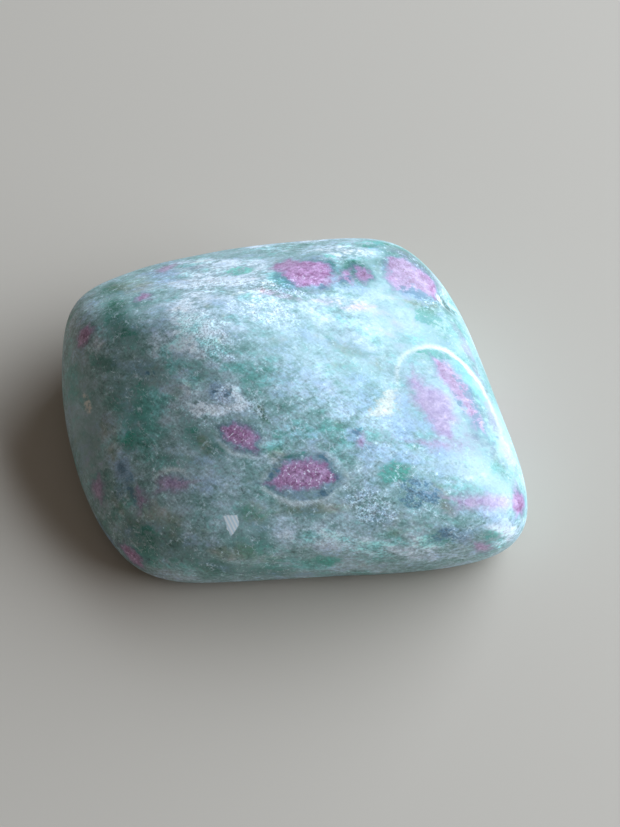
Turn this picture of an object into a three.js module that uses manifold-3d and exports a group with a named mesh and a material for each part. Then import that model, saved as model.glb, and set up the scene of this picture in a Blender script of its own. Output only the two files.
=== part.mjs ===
// A freeform tumble-polished cabochon of ruby in fuchsite, in millimetres, with +Z up.
// It is one solid stone. It lies on its ground sole at z = 0, and the origin is the
// middle of its box on that plane. Seen from above, its longest way runs along X.
//
// The skin is a rounded polyhedron about a heart point. Each ground face is a plane at
// a distance from the heart, and the radius of the skin in a unit direction u is
//   ( sum over the faces of (max(0, normal . u) / distance) ^ EDGE_POWER ) ^ (-1 / EDGE_POWER),
// which follows the planes and melts them into each other at the edges.
// Low relief is then added along the skin's normal.

import * as THREE from 'three';
import { mergeVertices } from 'three/addons/utils/BufferGeometryUtils.js';
import Module from 'manifold-3d';

// ---------------------------------------------------------------- driving dimensions

// The heart: the point that the ground faces are measured from.
const HEART = new THREE.Vector3(1.18, -1.1, 7.6);

// Azimuth is counted from +X towards +Y and elevation up from the horizontal, in degrees.
const FACES = [
  { name: 'right wall', azimuth: 8, elevation: 8, distance: 20.7 },
  { name: 'back right wall', azimuth: 51, elevation: 8, distance: 23.4 },
  { name: 'back wall', azimuth: 80, elevation: 5, distance: 22 },
  { name: 'back left wall', azimuth: 113, elevation: 10, distance: 28.2 },
  { name: 'left wall', azimuth: 176, elevation: 10, distance: 25.1 },
  { name: 'front left wall', azimuth: 212, elevation: 8, distance: 23.8 },
  { name: 'front wall', azimuth: 264, elevation: 2, distance: 19.2 },
  { name: 'front right wall', azimuth: 306, elevation: 8, distance: 30.1 },
  { name: 'crown', azimuth: 346, elevation: 76, distance: 9 },
  { name: 'back slope', azimuth: 98, elevation: 59, distance: 12.7 },
  { name: 'left slope', azimuth: 189, elevation: 42, distance: 19 },
  { name: 'left shoulder', azimuth: 218, elevation: 55, distance: 11.9 },
  { name: 'front slope', azimuth: 255, elevation: 67, distance: 9.8 },
  { name: 'front right slope', azimuth: 310, elevation: 56, distance: 20 },
  { name: 'right slope', azimuth: 14, elevation: 42, distance: 17.5 },
  { name: 'under the right', azimuth: 9, elevation: -40, distance: 19.8 },
  { name: 'under the back', azimuth: 81, elevation: -40, distance: 20.1 },
  { name: 'under the back left', azimuth: 128, elevation: -40, distance: 25.3 },
  { name: 'under the left', azimuth: 190, elevation: -40, distance: 23.5 },
  { name: 'under the front', azimuth: 265, elevation: -40, distance: 18.9 },
  { name: 'under the front right', azimuth: 311, elevation: -40, distance: 27.4 },
  { name: 'sole', azimuth: 0, elevation: -90, distance: 8 },
];
const EDGE_POWER = 10;

// Spots of low relief: an oval about a centre on the skin, its half lengths along and
// across, the turn of its long axis about Z in degrees, and the height at its middle.
const SPOTS = [
  { name: 'knoll on the crown', centre: [9.2, 1.9, 15.1], along: 4, across: 3.4, turn: -40, height: 0.26 },
  { name: 'groove before it', centre: [10.3, -3.6, 14.5], along: 4.5, across: 1.8, turn: -40, height: -0.12 },
  { name: 'swell round the ruby pair', centre: [16.2, -7, 12.8], along: 8, across: 5.5, turn: -60, height: 0.25 },
  { name: 'chip on the right rim', centre: [18.8, 6.9, 10.7], along: 3, across: 2.2, turn: -60, height: -0.6 },
  { name: 'dip on the left flank', centre: [-21.1, -1.2, 8.3], along: 7, across: 5, turn: 80, height: -0.3 },
  { name: 'dip on the front slope', centre: [-2, -17.9, 10.4], along: 8, across: 4, turn: 0, height: -0.2 },
];

// Slow waves that keep the ground faces from being true planes.
const WAVES = [
  { direction: [1, 0.35, 0.2], length: 23, height: 0.06, phase: 0.6 },
  { direction: [-0.4, 1, 0.3], length: 17, height: 0.04, phase: 2.1 },
  { direction: [0.7, -0.8, 0.9], length: 12, height: 0.025, phase: 4 },
];

// Steps of the skin's grid along each side of the cube that it is blown up from.
const GRID_STEPS = 30;

const STONE = { color: 0x8fb8ae, roughness: 0.35, metalness: 0 };

// ---------------------------------------------------------------- the skin

function faceNormal({ azimuth, elevation }) {
  const polar = THREE.MathUtils.degToRad(90 - elevation);
  const around = THREE.MathUtils.degToRad(azimuth);
  const level = Math.sin(polar);
  return new THREE.Vector3(level * Math.cos(around), level * Math.sin(around), Math.cos(polar));
}

const PLANES = FACES.map((face) => ({ normal: faceNormal(face), distance: face.distance }));

// The skin's point in a unit direction from the heart, and its outward normal there.
function skin(direction) {
  let sum = 0;
  const normal = new THREE.Vector3();
  for (const plane of PLANES) {
    const reach = Math.max(0, plane.normal.dot(direction)) / plane.distance;
    sum += reach ** EDGE_POWER;
    normal.addScaledVector(plane.normal, reach ** (EDGE_POWER - 1) / plane.distance);
  }
  const radius = sum ** (-1 / EDGE_POWER);
  const point = direction.clone().multiplyScalar(radius).add(HEART);
  return { point, normal: normal.normalize() };
}

// Each spot is a smooth bell that is 0 at its rim and beyond it.
function spotHeight(point, { centre, along, across, turn, height }) {
  const offset = point.clone().sub(new THREE.Vector3(...centre));
  const heading = THREE.MathUtils.degToRad(turn);
  const forward = offset.x * Math.cos(heading) + offset.y * Math.sin(heading);
  const sideways = offset.y * Math.cos(heading) - offset.x * Math.sin(heading);
  const inside = 1 - (forward / along) ** 2 - (sideways / across) ** 2 - (offset.z / along) ** 2;
  return height * Math.max(0, inside) ** 2;
}

function waveHeight(point, { direction, length, height, phase }) {
  const travel = point.dot(new THREE.Vector3(...direction).normalize());
  return height * Math.sin((2 * Math.PI * travel) / length + phase);
}

function relief(point) {
  const spots = SPOTS.reduce((sum, spot) => sum + spotHeight(point, spot), 0);
  return WAVES.reduce((sum, wave) => sum + waveHeight(point, wave), spots);
}

// A cube's grid, evened out by the tangent and thrown onto the skin.
function skinGeometry() {
  const cube = new THREE.BoxGeometry(2, 2, 2, GRID_STEPS, GRID_STEPS, GRID_STEPS);
  cube.deleteAttribute('normal');
  cube.deleteAttribute('uv');
  const geometry = mergeVertices(cube);
  const positions = geometry.getAttribute('position');
  const even = (side) => Math.tan((side * Math.PI) / 4);
  for (let i = 0; i < positions.count; i += 1) {
    const corner = new THREE.Vector3().fromBufferAttribute(positions, i);
    const direction = new THREE.Vector3(even(corner.x), even(corner.y), even(corner.z)).normalize();
    const { point, normal } = skin(direction);
    point.addScaledVector(normal, relief(point));
    positions.setXYZ(i, point.x, point.y, point.z);
  }
  return geometry;
}

// ---------------------------------------------------------------- the ground sole

const wasm = await Module();
wasm.setup();

function toSolid(geometry) {
  const vertProperties = new Float32Array(geometry.getAttribute('position').array);
  const triVerts = new Uint32Array(geometry.getIndex().array);
  return new wasm.Manifold(new wasm.Mesh({ numProp: 3, vertProperties, triVerts }));
}

function toGeometry(solid) {
  const { vertProperties, triVerts } = solid.getMesh();
  const geometry = new THREE.BufferGeometry();
  geometry.setAttribute('position', new THREE.BufferAttribute(new Float32Array(vertProperties), 3));
  geometry.setIndex(new THREE.BufferAttribute(new Uint32Array(triVerts), 1));
  geometry.computeVertexNormals();
  return geometry;
}

// Everything below z = 0 is ground away.
function groundAway() {
  const width = 100;
  const depth = 20;
  const block = new THREE.BoxGeometry(width, width, depth);
  block.translate(0, 0, -depth / 2);
  block.deleteAttribute('normal');
  block.deleteAttribute('uv');
  return toSolid(mergeVertices(block));
}

function cabochon() {
  const solid = toSolid(skinGeometry()).subtract(groundAway());
  const mesh = new THREE.Mesh(toGeometry(solid), new THREE.MeshStandardMaterial(STONE));
  mesh.name = 'cabochon';
  return mesh;
}

const stone = new THREE.Group();
stone.add(cabochon());

export default stone;
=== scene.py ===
"""A freeform polished cabochon of ruby in fuchsite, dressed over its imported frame.

Sizes are in millimetres until a mesh or a lamp is made, and MM turns them into metres.
A bearing turns from +X towards +Y and a rise is up from level, both in degrees.
"""
import math

import bmesh
import bpy
import numpy as np
from mathutils import Matrix, Vector


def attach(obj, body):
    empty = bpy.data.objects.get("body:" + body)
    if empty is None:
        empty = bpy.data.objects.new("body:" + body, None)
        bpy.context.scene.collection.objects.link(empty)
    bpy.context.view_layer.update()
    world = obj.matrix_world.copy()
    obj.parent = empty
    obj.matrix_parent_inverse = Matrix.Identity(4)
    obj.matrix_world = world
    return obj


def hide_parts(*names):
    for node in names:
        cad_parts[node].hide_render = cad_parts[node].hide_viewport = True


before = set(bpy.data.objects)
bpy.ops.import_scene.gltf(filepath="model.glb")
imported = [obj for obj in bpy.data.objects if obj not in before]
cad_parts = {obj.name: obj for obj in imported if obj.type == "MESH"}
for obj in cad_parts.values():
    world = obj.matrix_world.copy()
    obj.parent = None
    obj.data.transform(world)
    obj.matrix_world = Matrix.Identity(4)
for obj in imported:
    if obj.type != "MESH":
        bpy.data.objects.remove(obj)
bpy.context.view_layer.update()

MM = 0.001

# ------------------------------------------------------------------ the stone's form

# The heart is the point that the ground faces are measured from.
HEART = np.array([1.18, -1.1, 7.6])

# Each ground face: bearing and rise of its normal, and its distance from the heart.
GROUND_FACES = {
    "right wall": (8, 8, 20.7),
    "back right wall": (51, 8, 23.4),
    "back wall": (80, 5, 22),
    "back left wall": (113, 10, 28.2),
    "left wall": (176, 10, 25.1),
    "front left wall": (212, 8, 23.8),
    "front wall": (264, 2, 19.2),
    "front right wall": (306, 8, 30.1),
    "crown": (346, 76, 9),
    "back slope": (98, 59, 12.7),
    "left slope": (189, 42, 19),
    "left shoulder": (218, 55, 11.9),
    "front slope": (255, 67, 9.8),
    "front right slope": (310, 56, 20),
    "right slope": (14, 42, 17.5),
    "under the right": (9, -40, 19.8),
    "under the back": (81, -40, 20.1),
    "under the back left": (128, -40, 25.3),
    "under the left": (190, -40, 23.5),
    "under the front": (265, -40, 18.9),
    "under the front right": (311, -40, 27.4),
    "sole": (0, -90, 8),
}
EDGE_POWER = 10

# Spots of low relief: centre on the skin, half length along and across, turn of the
# long axis about Z in degrees, and height in the middle.
SPOTS = {
    "knoll on the crown": ((9.2, 1.9, 15.1), 4, 3.4, -40, 0.26),
    "groove before it": ((10.3, -3.6, 14.5), 4.5, 1.8, -40, -0.12),
    "swell round the ruby pair": ((16.2, -7, 12.8), 8, 5.5, -60, 0.25),
    "chip on the right rim": ((18.8, 6.9, 10.7), 3, 2.2, -60, -0.6),
    "dip on the left flank": ((-21.1, -1.2, 8.3), 7, 5, 80, -0.3),
    "dip on the front slope": ((-2, -17.9, 10.4), 8, 4, 0, -0.2),
}

# Slow waves that keep the ground faces from being true planes: the way they travel,
# their length, height and phase. The last three are finer than the frame's solid has.
WAVES = {
    "first": ((1, 0.35, 0.2), 23, 0.06, 0.6),
    "second": ((-0.4, 1, 0.3), 17, 0.04, 2.1),
    "third": ((0.7, -0.8, 0.9), 12, 0.025, 4),
    "fourth": ((0.9, 0.7, -0.4), 6.7, 0.012, 1.3),
    "fifth": ((-0.8, 0.5, 0.6), 4.9, 0.007, 5.2),
    "sixth": ((0.2, -0.9, 0.7), 3.6, 0.004, 0.2),
}

# The skin is a cube's six sides blown up, each with so many cells along an edge. Their
# seams are closed by a weld of points nearer to each other than this.
CUBE_SIDES = 6
SKIN_STEPS = 128
WELD = 0.001


def unit(vectors):
    """Vectors of length 1: v / |v|."""
    return vectors / np.linalg.norm(vectors, axis=-1, keepdims=True)


def heading(bearing, rise):
    """The unit vectors (cos r cos b, cos r sin b, sin r) of bearings b and rises r."""
    b = np.radians(bearing)
    r = np.radians(rise)
    return np.stack([np.cos(r) * np.cos(b), np.cos(r) * np.sin(b), np.sin(r)], axis=-1)


BEARINGS, RISES, DISTANCES = (np.array(column, float) for column in zip(*GROUND_FACES.values()))
FACE_NORMALS = heading(BEARINGS, RISES)


def skin_radius(directions):
    """(sum over faces of (max(0, n . u) / d) ^ p) ^ (-1 / p): planes melted at their edges."""
    reach = np.maximum(0, directions @ FACE_NORMALS.T) / DISTANCES
    return (reach**EDGE_POWER).sum(axis=-1) ** (-1 / EDGE_POWER)


def skin_normal(directions):
    """The gradient of that sum: each face's normal times (n . u / d) ^ (p - 1) / d."""
    reach = np.maximum(0, directions @ FACE_NORMALS.T) / DISTANCES
    return unit((reach ** (EDGE_POWER - 1) / DISTANCES) @ FACE_NORMALS)


def relief(points):
    """Height over the smooth skin: bells (1 - r^2)^2 of the spots plus sines of the waves."""
    height = np.zeros(points.shape[:-1])
    for centre, along, across, turn, peak in SPOTS.values():
        offset = points - np.array(centre)
        turned = math.radians(turn)
        forward = offset[..., 0] * math.cos(turned) + offset[..., 1] * math.sin(turned)
        sideways = offset[..., 1] * math.cos(turned) - offset[..., 0] * math.sin(turned)
        level = 1 - (forward / along) ** 2 - (sideways / across) ** 2
        inside = level - (offset[..., 2] / along) ** 2
        height += peak * np.maximum(0, inside) ** 2
    for travel, length, peak, phase in WAVES.values():
        distance = points @ unit(np.array(travel, float))
        height += peak * np.sin(2 * np.pi * distance / length + phase)
    return height


def cube_directions(steps):
    """Six square grids (a, b) in -1..1, evened out by tan(pi a / 4), as unit directions."""
    even = np.tan(np.linspace(-np.pi / 4, np.pi / 4, steps + 1))
    a, b = np.meshgrid(even, even, indexing="ij")
    one = np.ones_like(a)
    sides = ((one, a, b), (-one, b, a), (b, one, a), (a, -one, b), (a, b, one), (b, a, -one))
    return unit(np.stack([np.stack(side, axis=-1) for side in sides]))


def grid_quads(sides, steps):
    """Corners (i, j), (i+1, j), (i+1, j+1), (i, j+1) of every cell of every side."""
    number = np.arange(sides * (steps + 1) ** 2).reshape(sides, steps + 1, steps + 1)
    corners = (number[:, :-1, :-1], number[:, 1:, :-1], number[:, 1:, 1:], number[:, :-1, 1:])
    return np.stack(corners, axis=-1).reshape(-1, 4)


# ------------------------------------------------------------------ the camera

# The camera's view in pixels, and the distance from the lens to its focus in the same
# pixels, which a sensor of this width turns into a focal length.
VIEW_WIDTH = 620
VIEW_HEIGHT = 827
FOCUS_PIXELS = 2900
SENSOR = 36

# The camera looks at the aim from this far away and this steeply, and is rolled a little.
AIM = np.array([2.62, 2.78, 0])
CAMERA_AWAY = 314
CAMERA_RISE = 54.5
CAMERA_ROLL = -8

# A ray is searched for the skin this far before and behind the aim, in these steps, and
# the step that meets the skin is then halved this often.
SEARCH_REACH = 30
SEARCH_STEP = 0.2
HALVINGS = 20


def camera_axes():
    """The camera's right, up and look directions: tilted about X, then rolled about its look."""
    tilt = Matrix.Rotation(math.radians(90 - CAMERA_RISE), 3, "X")
    roll = Matrix.Rotation(math.radians(CAMERA_ROLL), 3, "Z")
    turned = np.array(tilt @ roll)
    return turned[:, 0], turned[:, 1], -turned[:, 2]


CAMERA_RIGHT, CAMERA_UP, CAMERA_LOOK = camera_axes()
CAMERA_PLACE = AIM - CAMERA_LOOK * CAMERA_AWAY


def seen_at(column, row):
    """The point of the smooth skin behind a place of the view: the ray's first point within."""
    sideways = CAMERA_RIGHT * (column - VIEW_WIDTH / 2)
    upwards = CAMERA_UP * (row - VIEW_HEIGHT / 2)
    ray = unit(CAMERA_LOOK * FOCUS_PIXELS + sideways - upwards)

    def outside(distances):
        """Whether the ray is outside the skin at each distance: |offset| > radius."""
        offsets = CAMERA_PLACE + ray * np.asarray(distances)[..., None] - HEART
        return np.linalg.norm(offsets, axis=-1) > skin_radius(unit(offsets))

    steps = np.arange(CAMERA_AWAY - SEARCH_REACH, CAMERA_AWAY + SEARCH_REACH, SEARCH_STEP)
    hits = steps[~outside(steps)]
    if not len(hits):
        raise ValueError(f"nothing of the stone is at {column}, {row}")
    near, far = hits[0] - SEARCH_STEP, hits[0]
    for _ in range(HALVINGS):
        middle = (near + far) / 2
        near, far = (middle, far) if outside(middle) else (near, middle)
    return CAMERA_PLACE + ray * far


# ------------------------------------------------------------------ what lies in the rock

# Ovals on the skin: where the middle is in the camera's view (column, row), the lean of
# the long axis in that view in degrees, half length along, half across, and a weight,
# which is how strong a patch is.

# Rubies and their streaks. A ruby's weight is how pale it is.
RUBIES = {
    "left streak under the pair": ((428, 443), -12, 1, 0.3, 0.8),
    "right streak under the pair": ((450, 445), 2, 1.8, 0.3, 0.85),
    "back left ruby": ((307, 272), -21, 2.6, 2.35, 0.06),
    "left tip of the back left ruby": ((288, 266), -12, 1.7, 1.4, 0.3),
    "right end of the back left ruby": ((326, 280), -8, 0.75, 1.0, 0.45),
    "small back ruby": ((363, 274), -50, 0.95, 0.9, 0.05),
    "brown end of the small ruby": ((347, 276), -70, 0.95, 0.45, 0.3),
    "back right ruby": ((402, 268), -36, 1.8, 1.6, 0.25),
    "pale foot of the back right ruby": ((401, 280), -30, 1.6, 1.25, 0.3),
    "bright end of the back right ruby": ((424, 282), -42, 2.1, 1.7, 0.22),
    "head of the pale ruby": ((417, 385), -50, 1.1, 0.7, 0.8),
    "body of the pale ruby": ((435, 406), -56, 2.6, 1.8, 0.85),
    "foot of the pale ruby": ((443, 427), -60, 1.4, 1.1, 0.75),
    "strip": ((456, 386), -55, 3.6, 1, 0.3),
    "head of the strip": ((447, 376), -50, 1.4, 0.95, 0.3),
    "foot of the strip": ((474, 415), -57, 1.8, 0.6, 0.25),
    "small front ruby": ((240, 436), -18, 2.1, 1.1, 0.12),
    "large front ruby": ((304, 475), 9, 3.05, 1.55, 0.15),
    "left end of the large front ruby": ((281, 483), 20, 0.8, 0.6, 0.2),
    "mauve spot": ((173, 484), 3, 1.6, 0.7, 0.75),
    "mauve streak": ((141, 496), -60, 1, 0.4, 0.6),
    "left flank ruby": ((84, 336), 60, 1.4, 1.1, 0.25),
    "left flank blush": ((98, 489), -75, 1.1, 0.85, 0.6),
    "foot of the left flank": ((132, 556), -42, 1.5, 0.95, 0.2),
    "blush on the back slope": ((166, 268), 0, 0.95, 1.1, 0.7),
    "mauve speck": ((143, 297), 40, 0.75, 0.8, 0.4),
    "blush at the middle": ((362, 440), 0, 0.4, 0.45, 0.45),
    "pink band": ((471, 502), 2, 1.8, 0.55, 0.7),
    "middle of the band": ((494, 502), -5, 1.8, 0.85, 0.75),
    "magenta end": ((520, 503), -75, 1.2, 1.1, 0.2),
    "dull pink foot": ((483, 548), -20, 1.2, 0.6, 0.45),
}

# Halos round them, with three weights each: how white the ring is, how pale the ground
# within it is, and the side where the ring is whitest, in degrees from the long axis.
HALOS = {
    "halo of the pair": ((449, 410.5), -69, 8, 5.2, 0.85, 0.85, 150),
    "ring of the large front ruby": ((305, 476), 6, 4.2, 2.8, 0.9, 0.42, 250),
    "ring of the small front ruby": ((240, 436), -20, 2.7, 1.75, 0.65, 0.45, 270),
    "ring of the mauve spot": ((173, 483), 3, 2.1, 1.4, 0.8, 0.5, 100),
    "ring of the back left ruby": ((306, 273), -8, 3.7, 3.7, 0.2, 0.4, 250),
    "ring of the back right ruby": ((411, 276), -40, 3.5, 3.1, 0.25, 0.4, 250),
}

# Pale mica, and in the rows marked so below painted light on the front foot and painted sheen on
# the back slope.
CLOUDS = {
    "pale under the knoll": ((364, 346), -30, 1.6, 0.9, 0.4),
    "pale round the large ring": ((306, 452), 0, 3, 0.5, 0.4),
    "pale back left": ((263, 248), -6, 4, 0.8, 0.6),
    "pale low middle": ((297, 538), -10, 2.6, 1.1, 0.5),
    "pale by the slate corner": ((428, 543), -5, 2.4, 1.0, 0.8),
    "over the upper edge": ((195, 275), -4, 3, 0.9, 0.6),
    "right of the sparkling cloud": ((234, 322), -40, 2.4, 1.4, 0.4),
    "low in the cloud": ((201, 354), -40, 1.8, 1.1, 0.5),
    "by the cluster": ((190, 384), -40, 1.8, 1.1, 0.5),
    "pale over the small back ruby": ((350, 258), -4, 1.3, 0.5, 0.6),
    "pale by the back edge": ((370, 243), -6, 1.6, 0.6, 0.6),
    "pale right of the large ring": ((332, 461), -40, 1.3, 0.6, 0.9),
    "pale left of the large ring": ((264, 459), -20, 1.6, 0.9, 0.5),
    "pale over the large ring": ((296, 430), -10, 1.8, 0.8, 0.5),
    "pale under the cloud left": ((186, 338), -20, 2.4, 1.8, 1),
    "over the cloud": ((203, 291), -10, 2.2, 1, 0.6),
    "pale edge of the corner": ((505, 543), 20, 1.6, 1, 0.7),
    "pale under the small back ruby": ((352, 303), -5, 3.4, 1.5, 0.5),
    "pale over the back left ruby": ((335, 256), -12, 1.4, 0.8, 0.8),
    "pale rim under the pair": ((505, 448), -66, 3.0, 1.2, 0.5),
    "pale low right": ((372, 547), -5, 4.4, 1.4, 0.7),
    "pale under the back rubies": ((362, 295), -5, 4, 1.2, 0.4),
    "pale in the front grit": ((374, 500), -50, 3.2, 1.6, 0.4),
    "pale right of the middle": ((282, 446), -20, 1.8, 1.1, 0.45),
    "pale left of the cloud": ((162, 343), -10, 2.2, 1.6, 0.8),
    "upper edge of the cloud": ((222, 282), 1, 5.8, 1.5, 1),
    "pale under the cloud": ((182, 362), -35, 3.2, 1.8, 0.35),
    "left of the cloud": ((195, 300), -12, 3, 1.8, 0.8),
    "pale middle": ((320, 385), -22, 6.5, 3.2, 0.3),
    "sparkling cloud": ((196, 324), -50, 5.3, 2.2, 0.85),
    "right part of the sparkling cloud": ((250, 303), -12, 6, 3.4, 0.5),
    "cyan patch": ((168, 348), 10, 1.5, 1.1, 0.45),
    "white cluster": ((232, 398), -50, 1.7, 1.3, 1),
    "white patch": ((206, 409), -12, 2.7, 0.8, 0.9),
    "pale crown": ((325, 310), -15, 4.2, 2.6, 0.35),
    "pale knoll": ((362, 330), -40, 2.8, 2.5, 0.3),
    "pale back right": ((405, 318), -50, 4.5, 2.8, 0.2),
    "pale left of the pair": ((396, 392), -60, 2.7, 1.4, 0.35),
    "pale before the pair": ((462, 462), -35, 3.5, 1.9, 0.45),
    # Painted light on the front foot, which grows paler towards the right.
    "pale low front": ((334, 540), -6, 5.2, 1.5, 0.65),
    "end of the pale low front": ((402, 536), -10, 3, 1.4, 0.25),
    # Painted light on the front right corner.
    "painted light on the front right corner": ((503, 527), -30, 3.1, 1.2, 0.8),
    "bright streak": ((224, 481), 5, 0.95, 0.4, 0.4),
    "pale in the lower middle": ((275, 515), -30, 1.9, 1, 0.3),
    "pale foot of the left flank": ((80, 400), -80, 3.4, 1.4, 0.25),
    "pale by the left ruby": ((97, 345), 60, 1.1, 0.9, 0.5),
    # Painted light on the front right foot.
    "painted light on the front right foot": ((420, 553), -8, 5, 1.5, 0.55),
    # This row and the next: pale mica, and painted sheen on the back slope, which faces the sky.
    "pale back right slope": ((350, 248), -6, 5, 1.2, 0.6),
    "pale back": ((232, 267), -6, 9.5, 2.2, 0.75),
}

# Dark mica, and painted shade in the rows marked so below: on the lamp-lit right side, the magenta
# end and the front foot.
SHADES = {
    "behind the back right ruby": ((451, 304), -55, 1.5, 0.6, 0.7),
    "by the ring of the mauve spot": ((180, 462), 0, 2.6, 0.9, 0.4),
    "right of the shade before the knoll": ((357, 352), -6, 2.1, 0.7, 0.4),
    "by the chip on the right rim": ((433, 322), -40, 2.4, 1.2, 0.4),
    "line under the cream fleck": ((449, 309), -30, 1.2, 0.5, 0.9),
    "back right corner": ((418, 293), -42, 5.4, 2.6, 0.5),
    "left of the small front ruby": ((215, 450), 0, 1.6, 1.1, 0.6),
    "by the mauve speck": ((142, 305), -20, 1.8, 1.1, 0.5),
    "dark band by the strip": ((475, 405), -62, 3, 1.2, 1),
    "back edge": ((390, 247), -12, 4, 1.2, 0.6),
    # Painted shade: darkens the magenta end, which faces the lamp.
    "painted shade on the magenta end": ((520, 501), -75, 1.3, 1.0, 0.9),
    "under the back right ruby": ((430, 300), -40, 3.8, 2.3, 0.7),
    "upper shoulder": ((113, 288), -45, 3.4, 1.6, 0.5),
    "over the small ruby": ((358, 270), -40, 2.2, 1.5, 0.9),
    # Painted shade along the front foot, which turns away from the light.
    "painted shade along the front foot": ((260, 572), -3, 14, 1.3, 0.4),
    "over the strip": ((458, 389), -56, 4.6, 1.1, 0.8),
    "over the back right ruby": ((408, 268), -40, 4.2, 3.2, 0.9),
    # Painted shade on the right slope, which faces the lamp.
    "painted shade before the right rim": ((490, 438), -66, 6.5, 2.4, 0.5),
    "dark left of the middle": ((128, 408), -60, 4, 2, 0.35),
    # Painted shade along the lamp-lit right rim.
    "right rim": ((466, 350), -60, 8, 4, 0.45),
    "dark shoulder": ((116, 316), -68, 4.6, 1.7, 0.6),
    "brown dark": ((134, 330), -60, 1.9, 0.75, 0.35),
    "dark left patch": ((106, 364), -12, 2.3, 0.8, 0.4),
    "dark green left": ((150, 374), -20, 3.2, 1.6, 0.4),
    "dark under the cloud": ((190, 365), -20, 5, 1, 0.3),
    "shade before the knoll": ((334, 343), -38, 1.5, 0.7, 0.35),
    "dark before the band": ((440, 500), -40, 1.8, 0.85, 0.4),
    "dark lower left": ((140, 535), -40, 3.4, 1.8, 0.5),
    "dark under the ring": ((305, 512), -4, 3.5, 0.6, 0.4),
    "dark under the middle": ((250, 530), -30, 2.8, 2.9, 0.35),
    "line at the back right": ((421, 303), -10, 1.6, 0.3, 0.5),
    "dark in the middle": ((200, 440), -28, 2.6, 1.6, 0.35),
    "dark specks by the small ruby": ((262, 414), -60, 1.1, 0.5, 0.6),
    "grey right of the crown": ((365, 385), -30, 4.1, 3.2, 0.2),
}

# Flakes of deep green.
EMERALDS = {
    "dark green right of the back left ruby": ((331, 263), -45, 0.7, 0.35, 0.9),
    "green in the dark shoulder": ((128, 340), -60, 2.6, 1.3, 0.3),
    "green at the back right": ((429, 317), -35, 1.6, 1.3, 1),
    "green under the pair": ((395, 472), 5, 1.7, 1.2, 1),
    "green behind the small ruby": ((357, 264), -15, 0.95, 0.65, 1),
    "green over the back left ruby": ((330, 256), -20, 2, 0.55, 0.5),
    "green at the back edge": ((372, 243), 0, 2.2, 1.3, 0.7),
    "green at the back": ((241, 271), 2, 1.6, 1.3, 1),
    "green in the dark middle": ((189, 425), -50, 1.7, 1, 0.4),
    "green below the dark middle": ((222, 470), -30, 1.3, 0.9, 0.3),
    "green over the strip": ((436, 354), -5, 2, 0.6, 1),
    "green foot": ((490, 536), 0, 1.3, 0.9, 0.5),
    "green low at the front": ((327, 560), -5, 1.7, 1, 0.8),
    "green over the front ruby": ((297, 455), 8, 1.2, 0.3, 0.8),
    "green at the left": ((129, 442), 70, 1.3, 0.9, 0.7),
    "green shoulder": ((115, 303), -75, 4.7, 1.1, 0.35),
    "green low left": ((147, 533), -30, 2.4, 1.1, 0.5),
    "green middle": ((262, 377), -30, 1.7, 0.75, 0.2),
    "green of the left": ((140, 390), 80, 1.7, 1.1, 0.4),
}

# Where the mica is a bluer green.
TEALS = {
    "teal by the slate corner": ((436, 540), 0, 2, 1, 0.6),
    "teal of the corner": ((497, 545), 0, 2, 0.9, 0.5),
    "teal under the cyan patch": ((178, 368), -30, 2.8, 1.5, 0.5),
    "teal in the cloud": ((214, 347), -30, 2, 1.2, 0.4),
    "teal over the large ring": ((300, 432), -8, 2.6, 1, 0.7),
    "teal of the low front": ((346, 545), -5, 5.5, 1.3, 0.5),
    "teal before the pair": ((352, 434), -4, 7, 1.2, 0.4),
    "teal left of the middle": ((135, 425), -60, 4, 2.2, 0.6),
    "cyan of the patch": ((169, 348), 10, 1.6, 1.2, 0.5),
    "teal under the cloud": ((255, 372), -15, 4.2, 1.1, 0.35),
    "teal at the left": ((150, 400), -10, 2.5, 1.5, 0.7),
    "teal middle": ((285, 440), -10, 3.1, 1.5, 0.3),
    "teal right of the middle": ((325, 440), -10, 3.1, 1.1, 0.3),
    "teal low left": ((160, 560), -15, 4.7, 1.2, 0.5),
    "teal low middle": ((290, 565), -4, 5.2, 1.7, 0.4),
    "teal edge of the strip": ((470, 384), -60, 3.6, 0.9, 1),
    "teal under the back left ruby": ((280, 279), -40, 2.2, 0.8, 0.7),
    "teal left flank": ((72, 380), 85, 3.6, 2.1, 0.4),
    "teal at the shoulder": ((105, 330), -70, 2.9, 1.2, 0.4),
    "teal over the pair": ((462, 345), -55, 3, 4, 0.3),
    "teal corner": ((500, 470), -65, 1.7, 0.75, 0.4),
    "teal front right": ((370, 553), -5, 3.5, 1.4, 0.4),
}

# Where it is a browner green.
OLIVES = {
    "olive of the low left": ((165, 520), -30, 4, 1.6, 0.5),
    "olive lower middle": ((250, 507), -20, 2.1, 1.4, 0.5),
    "olive under the ring": ((310, 508), 0, 4.1, 0.7, 0.8),
    "olive foot": ((245, 558), -10, 4.1, 1.4, 0.7),
    "olive front": ((400, 528), -10, 4, 1.3, 0.3),
    "olive by the slate": ((441, 497), -60, 1.4, 0.7, 0.9),
    "olive shoulder": ((130, 285), -10, 3.8, 1.8, 0.6),
    "olive in the middle": ((206, 446), -60, 1.7, 0.85, 0.8),
    "olive line at the left": ((120, 505), -60, 2.3, 0.75, 0.6),
    "olive right of the small ruby": ((275, 455), -30, 1.7, 0.8, 0.5),
    "brown by the small ruby": ((262, 414), -60, 0.95, 0.5, 1),
    "olive left flank": ((110, 440), -80, 3.2, 1.2, 0.5),
    "brown line at the back right": ((420, 302), -8, 2.6, 0.4, 0.9),
    "olive crown": ((346, 349), -20, 2.8, 0.9, 0.5),
    "olive foot of the corner": ((462, 540), -10, 1.8, 0.85, 0.2),
}

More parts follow.
